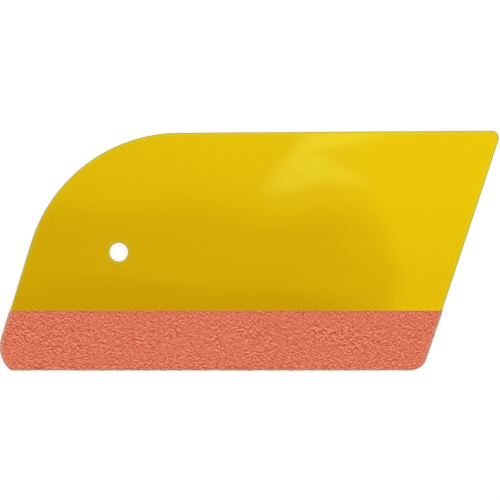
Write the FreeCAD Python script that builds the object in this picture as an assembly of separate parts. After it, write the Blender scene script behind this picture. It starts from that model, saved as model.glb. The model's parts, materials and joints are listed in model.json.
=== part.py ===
"""Hand squeegee for laying vinyl film: a flexible plastic blade whose working edge is wrapped in a
folded strip of microfibre suede, which two layers of transfer tape hold to the blade's faces.

Units are millimetres. X runs along the working edge, Y from the working edge to the back of the
blade, and Z through its thickness. The squeegee lies flat: the origin is under the centre of its
bounding box, at the height of the suede's lower face.
"""

import FreeCAD, Part
import math
import os

# Overall plan
LENGTH = 150.0  # widest extent along X
DEPTH = 72.2  # from the fold of the suede to the back edge, at the back right corner
LEFT_AT_FOLD = -2.64  # X of the left end's line, produced to the fold, from the left extreme
LEFT_LEAN = 17.2  # lean of the left end from the Y axis, in degrees, towards +X
RIGHT_AT_FOLD = 126.97  # X of the right end's line, measured the same way
RIGHT_LEAN = 18.3
BACK_RISE = 0.38  # the back edge climbs this many degrees towards +X
THUMB_RADIUS = 46.8  # large curve of the back left corner, which fits the palm
TIP_RADIUS = 2.17  # back right corner

# Blade
BLADE_THICKNESS = 2.5
EDGE_THICKNESS = 1.4  # at the working edge, under the suede
BEVEL_END = 15.0  # Y at which the blade is back to its full thickness
BLADE_FRONT = 0.9  # Y of the blade's own working edge, inside the fold
BLADE_FRONT_LEFT_RADIUS = 7.0
BLADE_FRONT_RIGHT_RADIUS = 5.0
ARRIS_RADIUS = 0.45  # rounding of the blade's long edges
HOLE_DIAMETER = 5.65
HOLE_FROM_LEFT = 35.6  # hole centre from the left extreme
HOLE_FROM_FOLD = 35.65
HOLE_EDGE_RADIUS = 0.3

# Suede strip and its tape
SUEDE_THICKNESS = 0.7
SUEDE_HEIGHT = 18.0  # on each face, from the fold
TAPE_THICKNESS = 0.1
TAPE_FRONT = 2.2  # Y at which the tape starts, behind the fold
TAPE_INSET = 0.3  # tape stops this far inside the blade's ends
TRIM_START = 3.17  # from the left extreme to where the left end's trimming cut meets the fold
TRIM_LEAN = 44.8  # of that cut, from the Y axis, towards -X
TRIM_RADIUS = 9.5  # where that cut meets the left end
STRIP_RIGHT_RADIUS = 5.15  # the strip's front right corner

# Worked out from the sizes above
MID_Z = BLADE_THICKNESS / 2 + TAPE_THICKNESS + SUEDE_THICKNESS
LEFT_SLOPE = math.tan(math.radians(LEFT_LEAN))
RIGHT_SLOPE = math.tan(math.radians(RIGHT_LEAN))
BACK_SLOPE = math.tan(math.radians(BACK_RISE))
BACK_RIGHT = (RIGHT_AT_FOLD + RIGHT_SLOPE * DEPTH, DEPTH)
BEVEL_ANGLE = math.atan((BLADE_THICKNESS - EDGE_THICKNESS) / 2 / (BEVEL_END - BLADE_FRONT))
OVERRUN = 10.0  # how far cutting solids run past the part
UPRIGHT = 0.1  # a face whose normal's Z part is less than this is an upright wall


def crossing(p, p_slope, q, q_slope):
    """Where two lines meet, each given by a point and dX/dY."""
    y = (q[0] - p[0] + p_slope * p[1] - q_slope * q[1]) / (p_slope - q_slope)
    return (p[0] + p_slope * (y - p[1]), y)


def back_left():
    """Where the left end's line meets the back edge's line."""
    return crossing((LEFT_AT_FOLD, 0.0), LEFT_SLOPE, BACK_RIGHT, 1 / BACK_SLOPE)


def rounded_outline(corners):
    """A closed flat wire through corners given as (x, y, radius), each rounded by a tangent arc."""
    points = [FreeCAD.Vector(x - LENGTH / 2, y - DEPTH / 2, 0) for x, y, _ in corners]
    starts, middles, ends = [], [], []
    for i, (_, _, radius) in enumerate(corners):
        here = points[i]
        back = (points[i - 1] - here).normalize()
        ahead = (points[(i + 1) % len(points)] - here).normalize()
        half = back.getAngle(ahead) / 2
        setback = radius / math.tan(half)
        starts.append(here + back * setback)
        ends.append(here + ahead * setback)
        inward = (back + ahead).normalize()
        middles.append(here + inward * (radius / math.sin(half) - radius))
    edges = []
    for i in range(len(points)):
        if corners[i][2] > 0:
            edges.append(Part.Arc(starts[i], middles[i], ends[i]).toShape())
        edges.append(Part.LineSegment(ends[i], starts[(i + 1) % len(points)]).toShape())
    return Part.Wire(edges)


def back_corners():
    """The two corners that the blade and the whole squeegee share, from right to left."""
    return [(*BACK_RIGHT, TIP_RADIUS), (*back_left(), THUMB_RADIUS)]


def blade_outline():
    """Plan of the moulded blade, without its suede."""
    left = (LEFT_AT_FOLD + LEFT_SLOPE * BLADE_FRONT, BLADE_FRONT, BLADE_FRONT_LEFT_RADIUS)
    right = (RIGHT_AT_FOLD + RIGHT_SLOPE * BLADE_FRONT, BLADE_FRONT, BLADE_FRONT_RIGHT_RADIUS)
    return rounded_outline([left, right, *back_corners()])


def trimmed_outline():
    """Plan of the whole squeegee, with the suede's ends trimmed round the front corners."""
    cut_slope = -math.tan(math.radians(TRIM_LEAN))
    start = (TRIM_START, 0.0)
    meet = crossing(start, cut_slope, (LEFT_AT_FOLD, 0.0), LEFT_SLOPE)
    return rounded_outline(
        [
            (*start, 0.0),
            (RIGHT_AT_FOLD, 0.0, STRIP_RIGHT_RADIUS),
            *back_corners(),
            (*meet, TRIM_RADIUS),
        ]
    )


def only_solid(shape):
    """The one solid that a cut, common or fillet leaves."""
    assert len(shape.Solids) == 1
    return shape.Solids[0]


def prism(wire):
    """The solid over a plan outline, taller than the squeegee."""
    base = Part.Face(wire)
    base.translate(FreeCAD.Vector(0, 0, -OVERRUN))
    return base.extrude(FreeCAD.Vector(0, 0, 2 * OVERRUN))


def along_x(face):
    """A cross-section in the YZ plane, extruded past both ends of the squeegee."""
    run = LENGTH + 2 * OVERRUN
    solid = face.extrude(FreeCAD.Vector(run, 0, 0))
    solid.translate(FreeCAD.Vector(-run / 2, -DEPTH / 2, 0))
    return solid


def section_point(y, z):
    """A point of a cross-section, with y from the fold and z from the blade's middle plane."""
    return FreeCAD.Vector(0, y, z)


def section_line(a, b):
    return Part.LineSegment(section_point(*a), section_point(*b)).toShape()


def half_thickness(y, cover):
    """Half the thickness over the bevel at y, with a cover of this thickness on the blade's face."""
    bevel = EDGE_THICKNESS / 2 + math.tan(BEVEL_ANGLE) * (y - BLADE_FRONT)
    return bevel + cover / math.cos(BEVEL_ANGLE)


def bevel_end(cover):
    """(y, z) where the bevelled face of a layer meets its flat face."""
    return (BEVEL_END - cover * math.tan(BEVEL_ANGLE / 2), BLADE_THICKNESS / 2 + cover)


def fold_centre():
    """Y of the fold's centre, which puts the suede's outer face at y = 0."""
    cover = TAPE_THICKNESS + SUEDE_THICKNESS
    level = half_thickness(0.0, cover) * math.cos(BEVEL_ANGLE)
    return level / (1 - math.sin(BEVEL_ANGLE))


def blade():
    """The flexible plastic card, thinner towards its working edge, with its hanging hole."""
    front, front_half = BLADE_FRONT - OVERRUN, half_thickness(BLADE_FRONT - OVERRUN, 0.0)
    end_y, full_half = bevel_end(0.0)
    back = DEPTH + OVERRUN
    upper = [(front, front_half), (end_y, full_half), (back, full_half)]
    lower = [(y, -z) for y, z in reversed(upper)]
    ring = [section_point(*p) for p in upper + lower]
    slab = along_x(Part.Face(Part.makePolygon(ring + ring[:1])))
    body = only_solid(slab.common(prism(blade_outline())))
    body = body.makeFillet(ARRIS_RADIUS, rims(body))
    centre = FreeCAD.Vector(HOLE_FROM_LEFT - LENGTH / 2, HOLE_FROM_FOLD - DEPTH / 2, -OVERRUN)
    body = only_solid(body.cut(Part.makeCylinder(HOLE_DIAMETER / 2, 2 * OVERRUN, centre)))
    hole_rims = [e for e in rims(body) if isinstance(e.Curve, Part.Circle) and e.isClosed()]
    return only_solid(body.makeFillet(HOLE_EDGE_RADIUS, hole_rims))


def rims(body):
    """The sharp edges between an upright wall and one of the broad faces."""

    def upright(face):
        u0, u1, v0, v1 = face.ParameterRange
        return abs(face.normalAt((u0 + u1) / 2, (v0 + v1) / 2).z) < UPRIGHT

    found = []
    for edge in body.Edges:
        walls = [upright(face) for face in body.ancestorsOfType(edge, Part.Face)]
        if len(walls) == 2 and walls[0] != walls[1]:
            found.append(edge)
    return found


def suede_strip():
    """One strip folded over the working edge, its ends trimmed to the squeegee's plan."""
    inner, outer = TAPE_THICKNESS, TAPE_THICKNESS + SUEDE_THICKNESS
    centre = fold_centre()

    def tangent(cover):
        """Where a face of the fold turns into the face of a flap."""
        radius = centre - (outer - cover)
        return (centre - radius * math.sin(BEVEL_ANGLE), radius * math.cos(BEVEL_ANGLE))

    def side(cover):
        """One face of the upper flap, from its cut edge to the fold."""
        return [(SUEDE_HEIGHT, BLADE_THICKNESS / 2 + cover), bevel_end(cover), tangent(cover)]

    def mirrored(path):
        return [(y, -z) for y, z in path]

    def run(path):
        return [section_line(a, b) for a, b in zip(path, path[1:])]

    def fold(cover):
        """The arc of a face round the fold."""
        top, tip = tangent(cover), (outer - cover, 0.0)
        ends = [section_point(*p) for p in (top, tip, (top[0], -top[1]))]
        return Part.Arc(*ends).toShape()

    edges = [
        *run(side(outer)),
        fold(outer),
        *run(mirrored(side(outer))[::-1]),
        section_line(mirrored(side(outer))[0], mirrored(side(inner))[0]),
        *run(mirrored(side(inner))),
        fold(inner),
        *run(side(inner)[::-1]),
        section_line(side(inner)[0], side(outer)[0]),
    ]
    return along_x(Part.Face(Part.Wire(edges))).common(prism(trimmed_outline()))


def transfer_tape(sign):
    """The adhesive between the blade and one flap: sign is 1 on the upper face, -1 on the lower."""
    ring = [
        (TAPE_FRONT, half_thickness(TAPE_FRONT, 0.0)),
        bevel_end(0.0),
        (SUEDE_HEIGHT, BLADE_THICKNESS / 2),
        (SUEDE_HEIGHT, BLADE_THICKNESS / 2 + TAPE_THICKNESS),
        bevel_end(TAPE_THICKNESS),
        (TAPE_FRONT, half_thickness(TAPE_FRONT, TAPE_THICKNESS)),
    ]
    points = [section_point(y, sign * z) for y, z in ring]
    layer = along_x(Part.Face(Part.makePolygon(points + points[:1])))
    return layer.common(prism(blade_outline().makeOffset2D(-TAPE_INSET)))


def main():
    os.makedirs("parts", exist_ok=True)
    nodes = {
        "blade": blade(),
        "suede_strip": suede_strip(),
        "upper_tape": transfer_tape(1),
        "lower_tape": transfer_tape(-1),
    }
    for name, shape in nodes.items():
        shape.translate(FreeCAD.Vector(0, 0, MID_Z))
        solids = shape.Solids
        assert len(solids) == 1 and solids[0].isValid(), name
        solids[0].exportStep(f"parts/{name}.step")
        box = solids[0].BoundBox
        print(
            f"{name}: {solids[0].Volume:.1f} mm3, X {box.XMin:.2f}..{box.XMax:.2f}, "
            f"Y {box.YMin:.2f}..{box.YMax:.2f}, Z {box.ZMin:.2f}..{box.ZMax:.2f}"
        )


main()
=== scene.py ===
"""Looks of the film squeegee: a wavy flexible yellow blade, a suede strip folded over its working
edge, the tape that holds it, a light table, soft studio light and a camera straight above.

Plan sizes are in millimetres: x from the squeegee's left extreme, y from the fold of the suede
and z from the blade's middle plane. place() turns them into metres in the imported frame.
"""

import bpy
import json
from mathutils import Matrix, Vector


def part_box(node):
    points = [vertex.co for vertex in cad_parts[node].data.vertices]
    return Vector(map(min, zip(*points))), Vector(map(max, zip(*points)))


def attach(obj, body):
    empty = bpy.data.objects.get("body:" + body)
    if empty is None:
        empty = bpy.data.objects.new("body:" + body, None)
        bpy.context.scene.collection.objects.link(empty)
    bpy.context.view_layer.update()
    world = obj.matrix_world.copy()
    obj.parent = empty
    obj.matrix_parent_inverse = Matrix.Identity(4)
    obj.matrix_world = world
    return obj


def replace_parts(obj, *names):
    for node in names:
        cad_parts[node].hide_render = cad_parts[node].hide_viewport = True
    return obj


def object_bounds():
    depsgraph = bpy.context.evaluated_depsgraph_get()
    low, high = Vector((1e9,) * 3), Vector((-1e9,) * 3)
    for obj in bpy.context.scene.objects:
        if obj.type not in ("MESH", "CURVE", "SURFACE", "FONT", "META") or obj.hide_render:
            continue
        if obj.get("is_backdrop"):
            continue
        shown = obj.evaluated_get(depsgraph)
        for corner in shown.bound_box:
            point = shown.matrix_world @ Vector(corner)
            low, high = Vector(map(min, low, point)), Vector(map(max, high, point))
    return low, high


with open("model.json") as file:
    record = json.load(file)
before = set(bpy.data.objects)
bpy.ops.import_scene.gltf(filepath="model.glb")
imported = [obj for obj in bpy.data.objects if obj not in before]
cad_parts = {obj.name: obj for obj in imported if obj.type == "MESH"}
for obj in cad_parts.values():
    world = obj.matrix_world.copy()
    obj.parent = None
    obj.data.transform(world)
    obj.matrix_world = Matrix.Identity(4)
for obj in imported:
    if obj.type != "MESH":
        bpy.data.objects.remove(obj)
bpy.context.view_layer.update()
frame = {"nodes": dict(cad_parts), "record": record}

import json
import math

import bmesh
import bpy
import numpy as np
from mathutils import Vector, noise

MM = 0.001

# Sizes that the frame gives, in millimetres
BLADE_LOW, BLADE_HIGH = (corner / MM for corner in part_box("blade"))
SUEDE_LOW, SUEDE_HIGH = (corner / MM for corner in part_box("suede_strip"))
TAPE_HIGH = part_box("upper_tape")[1] / MM
HOLE = next(m for m in frame["record"]["mounts"] if m["name"] == "hanging_hole")
HALF_THICKNESS = (BLADE_HIGH.z - BLADE_LOW.z) / 2
MIDDLE = (BLADE_HIGH.z + BLADE_LOW.z) / 2
TAPE_THICKNESS = TAPE_HIGH.z - BLADE_HIGH.z
SUEDE_THICKNESS = SUEDE_HIGH.z - TAPE_HIGH.z
SUEDE_HEIGHT = SUEDE_HIGH.y - SUEDE_LOW.y

# Plan of the squeegee
LENGTH = 150.0
DEPTH = 72.2
LEFT_AT_FOLD, LEFT_LEAN = -2.64, 17.2
RIGHT_AT_FOLD, RIGHT_LEAN = 126.97, 18.3
BACK_RISE = 0.38
THUMB_RADIUS = 46.8  # of the large back left corner
TIP_RADIUS = 2.17
TRIM_START, TRIM_LEAN, TRIM_RADIUS = 3.17, 44.8, 9.5
STRIP_RIGHT_RADIUS = 5.15
ON_THE_FOLD = 1e-6  # a point no further back than this lies on the fold

# Blade
BLADE_FRONT = 0.9
BLADE_FRONT_RADII = (7.0, 5.0)
EDGE_THICKNESS = 1.4
BEVEL_END = 15.0
ARRIS_RADIUS = 0.45
HOLE_EDGE_RADIUS = 0.3
OUTLINE_SPACING = 1.1
CORNER_STEPS = 8  # at least this many round a corner
ROUNDING_STEPS, HOLE_ROUNDING_STEPS = 6, 4
SUPPORT = 0.06  # a ring this far from each rounding keeps the flats' shading flat
RINGS = 50
RING_CROWDING = 1.35  # above 1, the rings lie closer together round the small hole
EDGE_SHADE_WIDTH = 1.3  # painted edge shade: the plastic's colour is darkened this near its edges
EDGE_SHADE_SHARES = (0.75, 0.95, 0.30)  # share of the painted edge shade inside a rounding, at its start and on the wall
CARD_WAVES = (  # height, millimetres per radian along x and along y, and phase
    (0.08, 23.0, 41.0, 0.0),
    (0.03, -47.0, 11.0, 1.9),
    (0.012, 7.3, 12.0, 0.6),
    (0.005, -15.0, 4.9, 0.0),
)
WAVES_RISE = 14.0  # from the suede's upper edge to where the waves have their full height

# Suede
COLUMN_SPACING = 0.32
ROW_SPACING = 0.19
WIDTH_SHARE = 0.9  # the strip's width as a share of the length, for the number of columns
FOLD_POINTS = 25
CUT_ROUNDING, CUT_STEPS = 0.16, 3
CUT_DEPTHS = (0.26, 0.40, 0.52, 0.62)  # rows down a cut edge, from the suede's face
CUT_CLEARANCE = 0.02  # no row of the flat face is nearer than this to a cut edge's rounding
CORE_DEPTH = 0.2  # the bare core shows from this far down a cut edge
INNER_COLUMNS = 70
INNER_ROWS = 16  # on the inside of each flap
WELD = 1e-7  # metres
NAP_HEIGHT = 0.12
NAP_LIMITS = (-1.4, 1.2)
NAP_END, NAP_FADE = 0.5, 0.1  # the nap fades out this deep below the face, over this much depth
DRIFT_SIZE, DRIFT = (2.6, 1.9, 1.9), 0.5  # slow bends of the strokes
STROKE_SIZE, STROKE_SHIFT = (0.55, 0.44, 0.44), 7.3
TUFT_SIZE, TUFT_SHIFT = (0.38, 0.30, 0.30), 3.1
BRUSHED_SIZE, BRUSHED_SHIFT = (4.5, 3.2, 3.2), 11.0  # patches that stand up more or less
BRUSHED_LEVEL, BRUSHED_RANGE = 1.0, 0.7
TUFT_DEPTH = 0.36  # from the middle of a tuft to the crease behind it
STROKE_WEIGHT, CREASE_WEIGHT, TUFT_WEIGHT = 1.5, 0.75, 0.6
PRESSED_DOWN, PRESSED_WIDTH = 0.32, 0.8  # the nap lies flatter along the flaps' upper edges
# Flattened brown edge: how far in it ends, the width of its fade, and its strength
END_RIM = (1.3, 0.9, 0.75)
FOLD_RIM = (0.95, 0.6, 0.60)

# Colours of the materials, scene linear
CARD_TONES = ((0.722, 0.398, 0.0019, 1), (0.707, 0.385, 0.0023, 1))
CARD_SPECK = (0.70, 0.47, 0.03, 1)
# Painted edge shade: a darker olive that stands in for the shade along the card's rounded edges
# and round the hole
CARD_EDGE_SHADE = (0.575, 0.470, 0.027, 1)
CARD_GLOSS = (1.0, 0.96, 0.005, 1.0)
# Painted shade and light on the nap: creases darker and more saturated, tufts paler, by the nap's
# height
NAP_CREASE_SHADE = (0.59, 0.084, 0.031, 1)
NAP_MIDDLE = (0.84, 0.198, 0.100, 1)
NAP_TUFT_LIGHT = (1.0, 0.357, 0.229, 1)
NAP_BLOOM = (1.0, 0.72, 0.62, 1.0)
PRESSED_TONES = ((0.56, 0.26, 0.160, 1), (0.74, 0.39, 0.270, 1))
CORE_TONES = ((0.62, 0.16, 0.10, 1), (0.86, 0.34, 0.24, 1))
TAPE_TONES = ((0.72, 0.66, 0.50, 1), (0.86, 0.83, 0.74, 1))
TAPE_AIR_TONE = (0.93, 0.92, 0.88, 1)
TABLE_TONES = ((0.33, 0.33, 0.33, 1), (0.35, 0.35, 0.35, 1))

# Features of the materials, as how many there are in a metre along x, y and z
CARD_DRIFTS = (22, 22, 22)
CARD_SPECKS = (900, 900, 900)
CARD_SCRATCHES = (140, 2600, 140)
CARD_HAZE = (60, 60, 60)
CARD_PEEL = (700, 700, 700)
FIBRES = (2600, 4200, 4200)
TAPE_STREAKS = (60, 900, 900)
TAPE_AIR = (1500, 1500, 1500)
TABLE_GRAIN = (30, 30, 30)

# How the features show: the noise where they begin and where they are full, then the values at
# both where these aren't 0 and 1
SPECKS_SHOW, SPECK_STRENGTH = (0.68, 0.8), 0.25
SCRATCHES_SHOW = (0.62, 0.72)
AIR_SHOWS = (0.62, 0.7)
CARD_ROUGHNESS = (0.3, 0.7, 0.03, 0.042)
RIM_WEAR, WALL_WEAR = 0.08, 0.4  # added roughness
TAPE_ROUGHNESS = (0.3, 0.7, 0.25, 0.5)
FIBRE_HEIGHT = (0.25, 0.75, -0.5, 0.5)
NAP_LOW, NAP_HIGH = -0.85, 0.85  # heights where the nap has its painted crease shade and its painted tuft light
PRESSED_LOW, PRESSED_HIGH = -0.6, 0.6

# Light, by the direction that it comes from: across is x/z and along is y/z, and both are 0
# straight up. Each span is (from, to), then the light or factor at both where these aren't 0 and
# 1. A slope slants a span: that share of the other direction is added first.
LEAST_RISE = 0.05  # z counts as at least this much
GLOW_ALONG, GLOW_SLOPE = (-0.045, 0.002, 0.0, 0.30), -0.06  # faint margin before the softbox
GLOW_ACROSS = (0.03, 0.09, 1.0, 1.28)
BOX_FRONT = (0.016, 0.041, 0.0, 0.275)
BOX_DEPTH = (0.016, 0.09, 0.0, 0.275)
BOX_ACROSS = (-0.2, 0.1, 0.78, 1.08)
RIGHT_EDGE, RIGHT_EDGE_SLOPE = (0.083, 0.100, 0.0, 0.41), 0.3
RIGHT_MARGIN = (0.037, 0.102, 0.0, 0.33)
BOX_REACH = (0.95, 0.5)  # off straight up, where the softbox has faded out and where it is full
BOX_STRENGTH = 4.0
HORIZON = (0.35, 0.0, 0.30, 1.0)  # by z
BRIGHTER_SIDE, BRIGHTER_SLOPE = (-1.1, 1.1, 0.62, 1.38), 0.6  # by y, slanted by x
PANE_FRONT, PANE_FRONT_SLOPE = (0.0350, 0.0388), -0.10
PANE_LEFT, PANE_LEFT_SLOPE = (-0.013, 0.003), -0.5
PANE_RIGHT, PANE_RIGHT_SLOPE = (0.056, 0.022), -3.0
PANE_NOTCH = 0.0575  # along; the right edge draws in on both sides of it
PANE_BACK = (0.100, 0.086)
PANE_COLOUR, PANE_STRENGTH = (0.62, 1.35, 36.0, 1.0), 1.16

# Table and camera
TABLE_HALF = 4.0  # metres
TABLE_GLOW = 0.72
LENS, SENSOR = 100.0, 36.0
VIEW_WIDTH = 150.25
VIEW_MIDDLE = (0.12, 0.16)  # from the squeegee's middle

LEFT_SLOPE = math.tan(math.radians(LEFT_LEAN))
RIGHT_SLOPE = math.tan(math.radians(RIGHT_LEAN))
BACK_SLOPE = math.tan(math.radians(BACK_RISE))
BACK_RIGHT = (RIGHT_AT_FOLD + RIGHT_SLOPE * DEPTH, DEPTH)
BEVEL_ANGLE = math.atan((HALF_THICKNESS - EDGE_THICKNESS / 2) / (BEVEL_END - BLADE_FRONT))


def place(points):
    """Plan points in millimetres, as points of the frame in metres."""
    return (np.asarray(points) + (-LENGTH / 2, -DEPTH / 2, MIDDLE)) * MM


def new_piece(name, mesh, material):
    """A smooth-shaded object on the squeegee's one body."""
    mesh.materials.append(material)
    mesh.polygons.foreach_set("use_smooth", [True] * len(mesh.polygons))
    piece = bpy.data.objects.new(name, mesh)
    bpy.context.scene.collection.objects.link(piece)
    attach(piece, "root")
    return piece


def keep_values(mesh, name, values):
    """Keeps a number per vertex for the material to read."""
    mesh.attributes.new(name, "FLOAT", "POINT").data.foreach_set("value", values)


# Outlines


def crossing(p, p_slope, q, q_slope):
    """Where two lines meet, each given by a point and dx/dy."""
    y = (q[0] - p[0] + p_slope * p[1] - q_slope * q[1]) / (p_slope - q_slope)
    return (p[0] + p_slope * (y - p[1]), y)


def back_corners():
    """The two corners that the blade and the whole squeegee share, from right to left."""
    back_left = crossing((LEFT_AT_FOLD, 0.0), LEFT_SLOPE, BACK_RIGHT, 1 / BACK_SLOPE)
    return [(*BACK_RIGHT, TIP_RADIUS), (*back_left, THUMB_RADIUS)]


def outline(corners):
    """Points round (x, y, radius) corners, anticlockwise, and the outward normals there."""
    count = len(corners)
    spots = [np.array(c[:2]) for c in corners]
    arcs = []
    for i, (_, _, radius) in enumerate(corners):
        back = spots[i - 1] - spots[i]
        ahead = spots[(i + 1) % count] - spots[i]
        back, ahead = back / np.linalg.norm(back), ahead / np.linalg.norm(ahead)
        half = math.acos(back @ ahead) / 2
        inward = (back + ahead) / np.linalg.norm(back + ahead)
        centre = spots[i] + inward * radius / math.sin(half)
        sweep = math.pi - 2 * half
        start = math.atan2(back[0], -back[1])
        steps = math.ceil(radius * sweep / OUTLINE_SPACING)
        steps = max(CORNER_STEPS, steps) if radius else 1
        turns = start + np.linspace(0, sweep, steps + 1)
        normals = np.stack([np.cos(turns), np.sin(turns)], axis=1)
        arcs.append((centre + radius * normals, normals))
    points, normals = [], []
    for i, (arc, arc_normals) in enumerate(arcs):
        points.append(arc)
        normals.append(arc_normals)
        gap = arcs[(i + 1) % count][0][0] - arc[-1]
        steps = max(1, round(np.linalg.norm(gap) / OUTLINE_SPACING))
        shares = np.arange(1, steps) / steps
        points.append(arc[-1] + shares[:, None] * gap)
        normals.append(np.repeat(arc_normals[-1:], steps - 1, axis=0))
    return np.concatenate(points), np.concatenate(normals)


def blade_outline():
    """The card's outline, with its hidden front corners, and the outward normals there."""
    left = (LEFT_AT_FOLD + LEFT_SLOPE * BLADE_FRONT, BLADE_FRONT, BLADE_FRONT_RADII[0])
    right = (RIGHT_AT_FOLD + RIGHT_SLOPE * BLADE_FRONT, BLADE_FRONT, BLADE_FRONT_RADII[1])
    return outline([left, right, *back_corners()])


def strip_ends():
    """Functions that give the x of the suede's left and right ends at a y."""
    cut_slope = -math.tan(math.radians(TRIM_LEAN))
    start = (TRIM_START, 0.0)
    meet = crossing(start, cut_slope, (LEFT_AT_FOLD, 0.0), LEFT_SLOPE)
    points, _ = outline(
        [
            (*start, 0.0),
            (RIGHT_AT_FOLD, 0.0, STRIP_RIGHT_RADIUS),
            *back_corners(),
            (*meet, TRIM_RADIUS),
        ]
    )
    x, y = points.T
    above_fold = y > ON_THE_FOLD
    on_left = above_fold & (x < LENGTH / 2) | (x == TRIM_START)
    on_right = above_fold & (x > LENGTH / 2)
    sides = []
    for chosen in (on_left, on_right):
        low = points[chosen & (y < SUEDE_HEIGHT + 2 * OUTLINE_SPACING)]
        sides.append(low[np.argsort(low[:, 1])])
    return [lambda y, e=ends: np.interp(y, e[:, 1], e[:, 0]) for ends in sides]


# Blade


def half_thickness(y):
    """Half the blade's thickness, which falls towards the working edge."""
    bevel = EDGE_THICKNESS / 2 + math.tan(BEVEL_ANGLE) * (y - BLADE_FRONT)
    return np.minimum(bevel, HALF_THICKNESS)


def waves(points):
    """How far the flexible card stands off flat, which is nothing under the suede."""
    x, y = points[:, 0], points[:, 1]
    rise = np.clip((y - SUEDE_HEIGHT) / WAVES_RISE, 0, 1)
    rise = rise * rise * (3 - 2 * rise)
    return rise * sum(h * np.sin(x / a + y / b + phase) for h, a, b, phase in CARD_WAVES)


def rounding(radius, steps):
    """List of (inset, drop) round a quarter circle, from the flat face to the wall."""
    turns = np.linspace(0, math.pi / 2, steps + 1)
    return [(radius * (1 - math.sin(t)), radius * (1 - math.cos(t))) for t in turns]


def rounded_rim(radius, steps):
    """List of (inset, drop, share of the painted edge shade) round an edge of the blade."""
    edge_shades = np.linspace(EDGE_SHADE_SHARES[1], EDGE_SHADE_SHARES[2], steps + 1)
    return [(*point, edge_shade) for point, edge_shade in zip(rounding(radius, steps), edge_shades)]


def blade_rings():
    """Closed rings of points, from the hole's wall over the top, round the rim and back below.

    Also gives each ring's share of the painted edge shade near the card's edges, and how far the
    ring is from the flat face (0) towards the unpolished wall (1).
    """
    rim, normals = blade_outline()
    hole = np.array(HOLE["pos_m"][:2]) / MM + (LENGTH / 2, DEPTH / 2)
    rays = rim - hole
    rays = rays / np.linalg.norm(rays, axis=1)[:, None]
    hole_radius = HOLE["dims"]["r_mm"]
    lip = rounded_rim(HOLE_EDGE_RADIUS, HOLE_ROUNDING_STEPS)
    top = [(hole + rays * (hole_radius + inset), *rest) for inset, *rest in reversed(lip)]
    top.append((hole + rays * (hole_radius + HOLE_EDGE_RADIUS + SUPPORT), 0.0, EDGE_SHADE_SHARES[0]))
    near = hole + rays * (hole_radius + EDGE_SHADE_WIDTH)
    far = rim - normals * EDGE_SHADE_WIDTH
    for share in np.linspace(0, 1, RINGS):
        top.append((near + (far - near) * share ** RING_CROWDING, 0.0, 0.0))
    top.append((rim - normals * (ARRIS_RADIUS + SUPPORT), 0.0, EDGE_SHADE_SHARES[0]))
    arris = rounded_rim(ARRIS_RADIUS, ROUNDING_STEPS)
    top += [(rim - normals * inset, *rest) for inset, *rest in arris]
    rings, edge_shades, walls = [], [], []
    for side, half in ((1, top), (-1, top[::-1])):
        for flat, drop, edge_shade in half:
            z = side * (half_thickness(flat[:, 1]) - drop) + waves(flat)
            rings.append(np.column_stack([flat, z]))
            edge_shades.append(edge_shade)
            walls.append(min(drop / ARRIS_RADIUS, 1.0))
    return np.array(rings), np.array(edge_shades), np.array(walls)


def wrapped_faces(rings, points):
    """Quads between neighbouring rings of points; the last ring joins the first."""
    r, p = np.meshgrid(np.arange(rings), np.arange(points), indexing="ij")
    r2, p2 = (r + 1) % rings, (p + 1) % points
    corners = (r * points + p, r * points + p2, r2 * points + p2, r2 * points + p)
    return np.stack([c.ravel() for c in corners], axis=1)[:, ::-1]


def blade(material):
    """The wavy card, in place of the CAD blade."""
    rings, edge_shades, walls = blade_rings()
    mesh = bpy.data.meshes.new("blade_card")
    faces = wrapped_faces(*rings.shape[:2])
    mesh.from_pydata(place(rings.reshape(-1, 3)).tolist(), [], faces.tolist())
    keep_values(mesh, "rim", np.repeat(edge_shades, rings.shape[1]))
    keep_values(mesh, "wall", np.repeat(walls, rings.shape[1]))
    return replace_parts(new_piece("blade_card", mesh, material), "blade")


# Suede


def section(cover):
    """(y, z) round the fold at that cover over the blade, from the upper flap to the lower."""
    outer = TAPE_THICKNESS + SUEDE_THICKNESS
    level = EDGE_THICKNESS / 2 * math.cos(BEVEL_ANGLE) - BLADE_FRONT * math.sin(BEVEL_ANGLE)
    centre = (level + outer) / (1 - math.sin(BEVEL_ANGLE))
    radius = centre - outer + cover
    bevel_top = (BEVEL_END - cover * math.tan(BEVEL_ANGLE / 2), HALF_THICKNESS + cover)
    turns = np.linspace(math.pi / 2 + BEVEL_ANGLE, 3 * math.pi / 2 - BEVEL_ANGLE, FOLD_POINTS)
    fold = [(centre + radius * math.cos(t), radius * math.sin(t)) for t in turns]
    top = [(SUEDE_HEIGHT, HALF_THICKNESS + cover), bevel_top]
    bottom = [(y, -z) for y, z in reversed(top)]
    return np.array(top + fold + bottom)


def spread_along(path, spacing):
    """Evenly spaced points on a path, and the path's outward normals there."""
    lengths = np.linalg.norm(np.diff(path, axis=0), axis=1)
    along = np.concatenate([[0], np.cumsum(lengths)])
    stations = np.linspace(0, along[-1], round(along[-1] / spacing) + 1)
    points = np.column_stack([np.interp(stations, along, path[:, k]) for k in (0, 1)])
    ahead = np.gradient(points, axis=0)
    normals = np.column_stack([ahead[:, 1], -ahead[:, 0]])
    return points, normals / np.linalg.norm(normals, axis=1)[:, None]


def cut_edge():
    """List of (inset, depth below the face) down a cut edge."""
    return rounding(CUT_ROUNDING, CUT_STEPS) + [(0.0, depth) for depth in CUT_DEPTHS]


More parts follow.
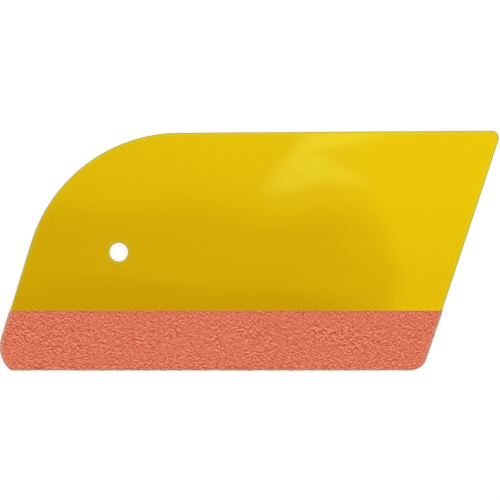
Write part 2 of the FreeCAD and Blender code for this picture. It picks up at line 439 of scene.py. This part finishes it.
def suede_rows():
    """(y, z), normal and depth below the face of each row of the outer face and its cut edges."""
    points, normals = spread_along(section(TAPE_THICKNESS + SUEDE_THICKNESS), ROW_SPACING)
    keep = np.abs(points[:, 0] - SUEDE_HEIGHT) > CUT_ROUNDING + CUT_CLEARANCE
    points, normals = points[keep], normals[keep]
    face = SUEDE_HIGH.z - MIDDLE
    top = [((SUEDE_HEIGHT - inset, face), (0, 1), depth) for inset, depth in reversed(cut_edge())]
    bottom = [((y, -z), (0, -1), d) for (y, z), _, d in reversed(top)]
    body = [(p, n, 0.0) for p, n in zip(points, normals)]
    every = top + body + bottom
    return [np.array([row[k] for row in every]) for k in range(3)]


def between(left, right, count):
    """Evenly spaced values from left to right, a row for each pair."""
    shares = np.linspace(0, 1, count)
    return left[:, None] * (1 - shares) + right[:, None] * shares


def suede_columns(left, right):
    """x of each column at the rows' ys, and the columns' depths below the face at the ends."""
    edge = cut_edge()[1:]
    count = round(LENGTH * WIDTH_SHARE / COLUMN_SPACING)
    inner = between(left + CUT_ROUNDING, right - CUT_ROUNDING, count)
    starts = [left + inset for inset, _ in reversed(edge)]
    ends = [right - inset for inset, _ in edge]
    down = [depth for _, depth in edge]
    depths = down[::-1] + [0.0] * count + down
    return np.column_stack([*starts, inner, *ends]), np.array(depths)


def grid_faces(rows, columns):
    """Quads of a grid of points."""
    r, c = np.meshgrid(np.arange(rows - 1), np.arange(columns - 1), indexing="ij")
    start = r * columns + c
    corners = (start, start + 1, start + columns + 1, start + columns)
    return np.stack([k.ravel() for k in corners], axis=1)


def boundary(faces):
    """The boundary of a patch of faces, as a loop of vertices in order."""
    rim = {e for f in faces for e in f.edges if len(e.link_faces) == 1}
    start = min(rim, key=lambda e: e.index)
    loop, here = [start.verts[0]], start.verts[1]
    rim.discard(start)
    while here != loop[0]:
        loop.append(here)
        step = next(e for e in here.link_edges if e in rim)
        rim.discard(step)
        here = step.other_vert(here)
    return loop


def facing(loop):
    """Twice the area that a loop encloses, as a vector."""
    return sum((p.co.cross(q.co) for p, q in zip(loop, loop[1:] + loop[:1])), Vector())


def zip_loops(bm, a, b):
    """Joins two loops that lie close together with a band of triangles."""
    start = min(range(len(b)), key=lambda i: (b[i].co - a[0].co).length)
    b = b[start:] + b[:start]
    if facing(a).dot(facing(b)) < 0:
        b = [b[0], *reversed(b[1:])]
    i, j = 0, 0
    while i < len(a) or j < len(b):
        here, there = a[i % len(a)], b[j % len(b)]
        next_a, next_b = a[(i + 1) % len(a)], b[(j + 1) % len(b)]
        step_a = (next_a.co - there.co).length if i < len(a) else math.inf
        step_b = (next_b.co - here.co).length if j < len(b) else math.inf
        if step_a <= step_b:
            bm.faces.new((here, next_a, there))
            i += 1
        else:
            bm.faces.new((here, next_b, there))
            j += 1


def suede_body():
    """The folded strip as one closed mesh with a smooth surface."""
    bm = bmesh.new()
    left_end, right_end = strip_ends()

    def patch(points, faces):
        verts = [bm.verts.new(p) for p in place(points)]
        return [bm.faces.new([verts[i] for i in face]) for face in faces.tolist()]

    spots, normals, row_depths = suede_rows()
    x, column_depths = suede_columns(left_end(spots[:, 0]), right_end(spots[:, 0]))
    depths = np.maximum(row_depths[:, None], column_depths[None, :])
    y = spots[:, :1] - normals[:, :1] * depths
    z = spots[:, 1:] - normals[:, 1:] * depths
    outer = np.stack([x, y, z], axis=2)
    patch(outer.reshape(-1, 3), grid_faces(*x.shape))
    bmesh.ops.remove_doubles(bm, verts=bm.verts, dist=WELD)
    outer_faces = list(bm.faces)

    inner, _ = spread_along(section(TAPE_THICKNESS), SUEDE_HEIGHT / INNER_ROWS)
    x = between(left_end(inner[:, 0]), right_end(inner[:, 0]), INNER_COLUMNS)
    y, z = (np.repeat(inner[:, k : k + 1], INNER_COLUMNS, axis=1) for k in (0, 1))
    inner_faces = patch(np.stack([x, y, z], axis=2).reshape(-1, 3), grid_faces(*x.shape))
    bm.verts.index_update()
    bm.edges.index_update()
    zip_loops(bm, boundary(outer_faces), boundary(inner_faces))
    bmesh.ops.recalc_face_normals(bm, faces=bm.faces)
    mesh = bpy.data.meshes.new("suede_wrap")
    bm.to_mesh(mesh)
    bm.free()
    return mesh


def nap_at(x, y, z):
    """Height of the matted nap at a plan point, from about -1 in a crease to 1 on a tuft."""

    def scaled(size, behind=0.0):
        return x / size[0], (y + behind) / size[1], z / size[2]

    drift = DRIFT * noise.noise(scaled(DRIFT_SIZE))

    def strokes(behind):
        a, b, c = scaled(STROKE_SIZE, behind)
        return noise.noise((a + drift, b - drift, c + STROKE_SHIFT))

    a, b, c = scaled(TUFT_SIZE)
    tufts = noise.noise((a + TUFT_SHIFT, b + drift, c))
    a, b, c = scaled(BRUSHED_SIZE)
    brushed = BRUSHED_LEVEL + BRUSHED_RANGE * noise.noise((a, b, c + BRUSHED_SHIFT))
    creased = STROKE_WEIGHT * strokes(0.0) - CREASE_WEIGHT * strokes(TUFT_DEPTH)
    return brushed * (creased + TUFT_WEIGHT * tufts)


def raise_nap(mesh):
    """Moves the strip's outer face by its nap, and keeps the nap, cut edges and rim."""
    count = len(mesh.vertices)
    co, normals = np.zeros(count * 3), np.zeros(count * 3)
    mesh.vertices.foreach_get("co", co)
    mesh.vertex_normals.foreach_get("vector", normals)
    co, normals = co.reshape(-1, 3), normals.reshape(-1, 3)
    plan = co / MM - (-LENGTH / 2, -DEPTH / 2, MIDDLE)
    nap = np.array([nap_at(*p) for p in plan.tolist()])
    nap -= PRESSED_DOWN * np.clip(1 - (SUEDE_HEIGHT - plan[:, 1]) / PRESSED_WIDTH, 0, 1)
    below = depth_below(plan)
    free = np.clip(1 - (below - NAP_END) / NAP_FADE, 0, 1)
    co += normals * (np.clip(nap, *NAP_LIMITS) * free * NAP_HEIGHT * MM)[:, None]
    mesh.vertices.foreach_set("co", co.ravel())
    keep_values(mesh, "nap", nap)
    keep_values(mesh, "cut", np.clip(below / CORE_DEPTH, 0, 1))
    keep_values(mesh, "rim", suede_rim(plan))


def suede_rim(plan):
    """Share of the flattened brown edge, at the strip's two ends and along its fold."""
    x, y = plan[:, 0], plan[:, 1]
    left_end, right_end = strip_ends()
    inset = np.minimum(x - left_end(y), right_end(y) - x)
    shares = []
    for distance, (reach, fade, strength) in ((inset, END_RIM), (y, FOLD_RIM)):
        shares.append(strength * np.clip((reach - distance) / fade, 0, 1))
    return np.maximum(*shares)


def depth_below(plan):
    """How far points lie below the strip's outer face."""
    face = section(TAPE_THICKNESS + SUEDE_THICKNESS)
    face_y, face_z = face[: len(face) // 2][::-1].T
    above = np.interp(plan[:, 1], face_y, face_z)
    bevel_cos = np.where(plan[:, 1] < BEVEL_END, math.cos(BEVEL_ANGLE), 1.0)
    return np.clip((above - np.abs(plan[:, 2])) * bevel_cos, 0, SUEDE_THICKNESS)


def suede(material):
    """The folded strip, in place of the CAD strip."""
    mesh = suede_body()
    raise_nap(mesh)
    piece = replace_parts(new_piece("suede_wrap", mesh, material), "suede_strip")
    around = section(TAPE_THICKNESS + SUEDE_THICKNESS / 2)
    left_end, right_end = strip_ends()
    middles = (around[1:, 0] + around[:-1, 0]) / 2
    widths = right_end(middles) - left_end(middles)
    return piece


# Materials


class Nodes:
    """A material's or world's node tree, with short ways to add and join nodes."""

    def __init__(self, tree):
        self.tree = tree
        tree.nodes.clear()

    def add(self, kind, **settings):
        node = self.tree.nodes.new(kind)
        for name, value in settings.items():
            setattr(node, name, value)
        return node

    def feed(self, socket, value):
        """Joins an output to a socket, or sets the socket to a value."""
        if isinstance(value, bpy.types.NodeSocket):
            self.tree.links.new(value, socket)
        else:
            socket.default_value = value

    def math(self, operation, a, b=0.0):
        node = self.add("ShaderNodeMath", operation=operation)
        self.feed(node.inputs[0], a)
        self.feed(node.inputs[1], b)
        return node.outputs[0]

    def total(self, a, b):
        return self.math("ADD", a, b)

    def product(self, a, b):
        return self.math("MULTIPLY", a, b)

    def attribute(self, name):
        """A number that the mesh keeps at its vertices."""
        return self.add("ShaderNodeAttribute", attribute_name=name).outputs["Fac"]

    def span(self, value, low, high, to_low=0.0, to_high=1.0, smooth=True):
        """value from low..high, mapped to to_low..to_high and clamped."""
        kind = "SMOOTHSTEP" if smooth else "LINEAR"
        node = self.add("ShaderNodeMapRange", interpolation_type=kind)
        for socket, x in zip(node.inputs, (value, low, high, to_low, to_high)):
            self.feed(socket, x)
        return node.outputs[0]

    def slanted(self, value, other, slope):
        """value + slope * other"""
        return self.total(value, self.product(other, slope))

    def mix(self, share, a, b):
        """A colour between a and b."""
        node = self.add("ShaderNodeMix", data_type="RGBA")
        sockets = {socket.identifier: socket for socket in node.inputs}
        for name, value in (("Factor_Float", share), ("A_Color", a), ("B_Color", b)):
            self.feed(sockets[name], value)
        return next(socket for socket in node.outputs if socket.identifier == "Result_Color")

    def place(self, scale):
        """Object coordinates, scaled along each axis."""
        spot = self.add("ShaderNodeTexCoord").outputs["Object"]
        node = self.add("ShaderNodeMapping")
        self.feed(node.inputs["Vector"], spot)
        node.inputs["Scale"].default_value = scale
        return node.outputs[0]

    def noise(self, scale, detail=2.0, roughness=0.5, distortion=0.0):
        """Noise with about that many features in a metre along x, y and z."""
        node = self.add("ShaderNodeTexNoise")
        self.feed(node.inputs["Vector"], self.place(scale))
        node.inputs["Scale"].default_value = 1.0
        node.inputs["Detail"].default_value = detail
        node.inputs["Roughness"].default_value = roughness
        node.inputs["Distortion"].default_value = distortion
        return node.outputs[0]

    def bump(self, height, strength, distance, normal=None):
        node = self.add("ShaderNodeBump")
        node.inputs["Strength"].default_value = strength
        node.inputs["Distance"].default_value = distance
        self.feed(node.inputs["Height"], height)
        if normal is not None:
            self.feed(node.inputs["Normal"], normal)
        return node.outputs[0]


def new_material(name, **sockets):
    """A Principled material with its uniform sockets set, its nodes and its shader."""
    material = bpy.data.materials.new(name)
    material.use_nodes = True
    nodes = Nodes(material.node_tree)
    shader = nodes.add("ShaderNodeBsdfPrincipled")
    output = nodes.add("ShaderNodeOutputMaterial")
    nodes.feed(output.inputs["Surface"], shader.outputs[0])
    for socket, value in sockets.items():
        shader.inputs[socket.replace("_", " ")].default_value = value
    return material, nodes, shader


def blade_plastic():
    """Glossy yellow plastic: slight drifts of tone, specks, fine scratches and painted edge
    shade.
    """
    material, nodes, shader = new_material(
        "blade_plastic", IOR=1.5, Specular_IOR_Level=1.0, Specular_Tint=CARD_GLOSS
    )
    base = nodes.mix(nodes.noise(CARD_DRIFTS, detail=3), *CARD_TONES)
    specks = nodes.span(nodes.noise(CARD_SPECKS, detail=1), *SPECKS_SHOW)
    base = nodes.mix(nodes.product(specks, SPECK_STRENGTH), base, CARD_SPECK)
    # Painted edge shade: the rim share darkens the colour towards the card's edges; it also adds
    # wear to the roughness
    rim = nodes.attribute("rim")
    nodes.feed(shader.inputs["Base Color"], nodes.mix(rim, base, CARD_EDGE_SHADE))
    scratches = nodes.span(nodes.noise(CARD_SCRATCHES), *SCRATCHES_SHOW)
    haze = nodes.span(nodes.noise(CARD_HAZE, detail=4), *CARD_ROUGHNESS)
    wall = nodes.attribute("wall")
    worn = nodes.total(nodes.product(rim, RIM_WEAR), nodes.product(wall, WALL_WEAR))
    nodes.feed(shader.inputs["Roughness"], nodes.total(haze, worn))
    peel = nodes.bump(nodes.noise(CARD_PEEL), strength=0.06, distance=0.02 * MM)
    scratched = nodes.bump(scratches, strength=0.08, distance=0.01 * MM, normal=peel)
    nodes.feed(shader.inputs["Normal"], scratched)
    return material


def suede_cloth():
    """Coral microfibre: painted shade in the creases, painted light on the tufts and a soft bloom
    of short fibres.
    """
    material, nodes, shader = new_material(
        "suede_cloth",
        Roughness=0.92,
        Specular_IOR_Level=0.15,
        Sheen_Weight=0.25,
        Sheen_Roughness=0.55,
        Sheen_Tint=NAP_BLOOM,
    )
    fibres = nodes.noise(FIBRES, roughness=0.6, distortion=0.4)
    height = nodes.total(nodes.attribute("nap"), nodes.span(fibres, *FIBRE_HEIGHT, smooth=False))
    # Painted shade in the creases and painted light on the tufts, by the nap's height and the
    # fibres
    base = nodes.mix(nodes.span(height, NAP_LOW, 0.0), NAP_CREASE_SHADE, NAP_MIDDLE)
    base = nodes.mix(nodes.span(height, 0.0, NAP_HIGH), base, NAP_TUFT_LIGHT)
    pressed = nodes.mix(nodes.span(height, PRESSED_LOW, PRESSED_HIGH), *PRESSED_TONES)
    base = nodes.mix(nodes.attribute("rim"), base, pressed)
    core = nodes.mix(fibres, *CORE_TONES)
    nodes.feed(shader.inputs["Base Color"], nodes.mix(nodes.attribute("cut"), base, core))
    nodes.feed(shader.inputs["Normal"], nodes.bump(fibres, strength=0.5, distance=0.06 * MM))
    return material


def tape_film():
    """Milky acrylic adhesive with faint streaks and trapped air."""
    material, nodes, shader = new_material("tape_film", IOR=1.47, Specular_IOR_Level=0.5)
    streaks = nodes.noise(TAPE_STREAKS, detail=3)
    base = nodes.mix(streaks, *TAPE_TONES)
    air = nodes.span(nodes.noise(TAPE_AIR, detail=1), *AIR_SHOWS)
    nodes.feed(shader.inputs["Base Color"], nodes.mix(air, base, TAPE_AIR_TONE))
    nodes.feed(shader.inputs["Roughness"], nodes.span(streaks, *TAPE_ROUGHNESS))
    nodes.feed(shader.inputs["Normal"], nodes.bump(air, strength=0.3, distance=0.03 * MM))
    return material


def tapes(material):
    """The two layers of tape keep their CAD shape."""
    for name in ("upper_tape", "lower_tape"):
        for slot in frame["nodes"][name].material_slots:
            slot.material = material


# Stage


def floor(level):
    """A wide pale light table at the level of the squeegee's lowest fibres."""
    mesh = bpy.data.meshes.new("floor")
    half = TABLE_HALF
    corners = [(-half, -half), (half, -half), (half, half), (-half, half)]
    mesh.from_pydata([(x, y, level) for x, y in corners], [], [(0, 1, 2, 3)])
    material, nodes, shader = new_material(
        "floor", Roughness=0.9, Emission_Strength=TABLE_GLOW, Emission_Color=(1, 1, 1, 1)
    )
    nodes.feed(shader.inputs["Base Color"], nodes.mix(nodes.noise(TABLE_GRAIN), *TABLE_TONES))
    mesh.materials.append(material)
    table = bpy.data.objects.new("floor", mesh)
    bpy.context.scene.collection.objects.link(table)
    table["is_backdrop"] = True


def studio():
    """A pale room with a large softbox overhead, to the back and right of the squeegee.

    A small cool skylight shows through the softbox, and the rest of the room is dim.
    """
    world = bpy.data.worlds.new("studio")
    bpy.context.scene.world = world
    world.use_nodes = True
    nodes = Nodes(world.node_tree)
    toward = nodes.add("ShaderNodeSeparateXYZ")
    nodes.feed(toward.inputs[0], nodes.add("ShaderNodeTexCoord").outputs["Generated"])
    x, y, z = toward.outputs
    up = nodes.math("MAXIMUM", z, LEAST_RISE)
    across, along = nodes.math("DIVIDE", x, up), nodes.math("DIVIDE", y, up)
    room = nodes.add("ShaderNodeBackground")
    box = nodes.product(softbox(nodes, across, along), BOX_STRENGTH)
    nodes.feed(room.inputs["Strength"], nodes.total(box, horizon(nodes, x, y, z)))
    window = nodes.add("ShaderNodeBackground")
    window.inputs["Color"].default_value = PANE_COLOUR
    pane = nodes.product(window_pane(nodes, across, along), PANE_STRENGTH)
    nodes.feed(window.inputs["Strength"], pane)
    both = nodes.add("ShaderNodeAddShader")
    nodes.feed(both.inputs[0], room.outputs[0])
    nodes.feed(both.inputs[1], window.outputs[0])
    output = nodes.add("ShaderNodeOutputWorld")
    nodes.feed(output.inputs["Surface"], both.outputs[0])


def softbox(nodes, across, along):
    """Light of the softbox, 0 to 1: brighter to the back and to the right, with soft edges."""
    back = nodes.span(nodes.slanted(along, across, GLOW_SLOPE), *GLOW_ALONG)
    back = nodes.product(back, nodes.span(across, *GLOW_ACROSS))
    back = nodes.total(back, nodes.span(along, *BOX_FRONT))
    back = nodes.total(back, nodes.span(along, *BOX_DEPTH, smooth=False))
    back = nodes.product(back, nodes.span(across, *BOX_ACROSS))
    edge = nodes.span(nodes.slanted(across, along, RIGHT_EDGE_SLOPE), *RIGHT_EDGE)
    right = nodes.total(nodes.span(across, *RIGHT_MARGIN), edge)
    unlit = nodes.product(nodes.math("SUBTRACT", 1.0, back), nodes.math("SUBTRACT", 1.0, right))
    lit = nodes.math("SUBTRACT", 1.0, unlit)
    squares = nodes.total(nodes.product(across, across), nodes.product(along, along))
    return nodes.product(lit, nodes.span(nodes.math("SQRT", squares), *BOX_REACH))


def horizon(nodes, x, y, z):
    """Dim light of the room, which grows towards the horizon and to the back and right."""
    side = nodes.span(nodes.slanted(y, x, BRIGHTER_SLOPE), *BRIGHTER_SIDE, smooth=False)
    return nodes.product(nodes.span(z, *HORIZON), side)


def window_pane(nodes, across, along):
    """Light of the skylight, 0 to 1: four soft edges, the right one with a notch."""
    front = nodes.span(nodes.slanted(along, across, PANE_FRONT_SLOPE), *PANE_FRONT)
    left = nodes.span(nodes.slanted(across, along, PANE_LEFT_SLOPE), *PANE_LEFT)
    notch = nodes.math("ABSOLUTE", nodes.math("SUBTRACT", along, PANE_NOTCH))
    right = nodes.span(nodes.slanted(across, notch, PANE_RIGHT_SLOPE), *PANE_RIGHT)
    depth = nodes.product(front, nodes.span(along, *PANE_BACK))
    return nodes.product(nodes.product(left, right), depth)


def camera():
    """Straight above the squeegee, which just fills the width of the picture."""
    data = bpy.data.cameras.new("camera")
    data.lens, data.sensor_width = LENS, SENSOR
    eye = bpy.data.objects.new("camera", data)
    height = BLADE_HIGH.z + VIEW_WIDTH * LENS / SENSOR
    eye.location = [length * MM for length in (*VIEW_MIDDLE, height)]
    bpy.context.scene.collection.objects.link(eye)
    bpy.context.scene.camera = eye
    bpy.context.scene.view_settings.view_transform = "Standard"


blade(blade_plastic())
suede(suede_cloth())
tapes(tape_film())
floor(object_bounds()[0].z)
studio()
camera()
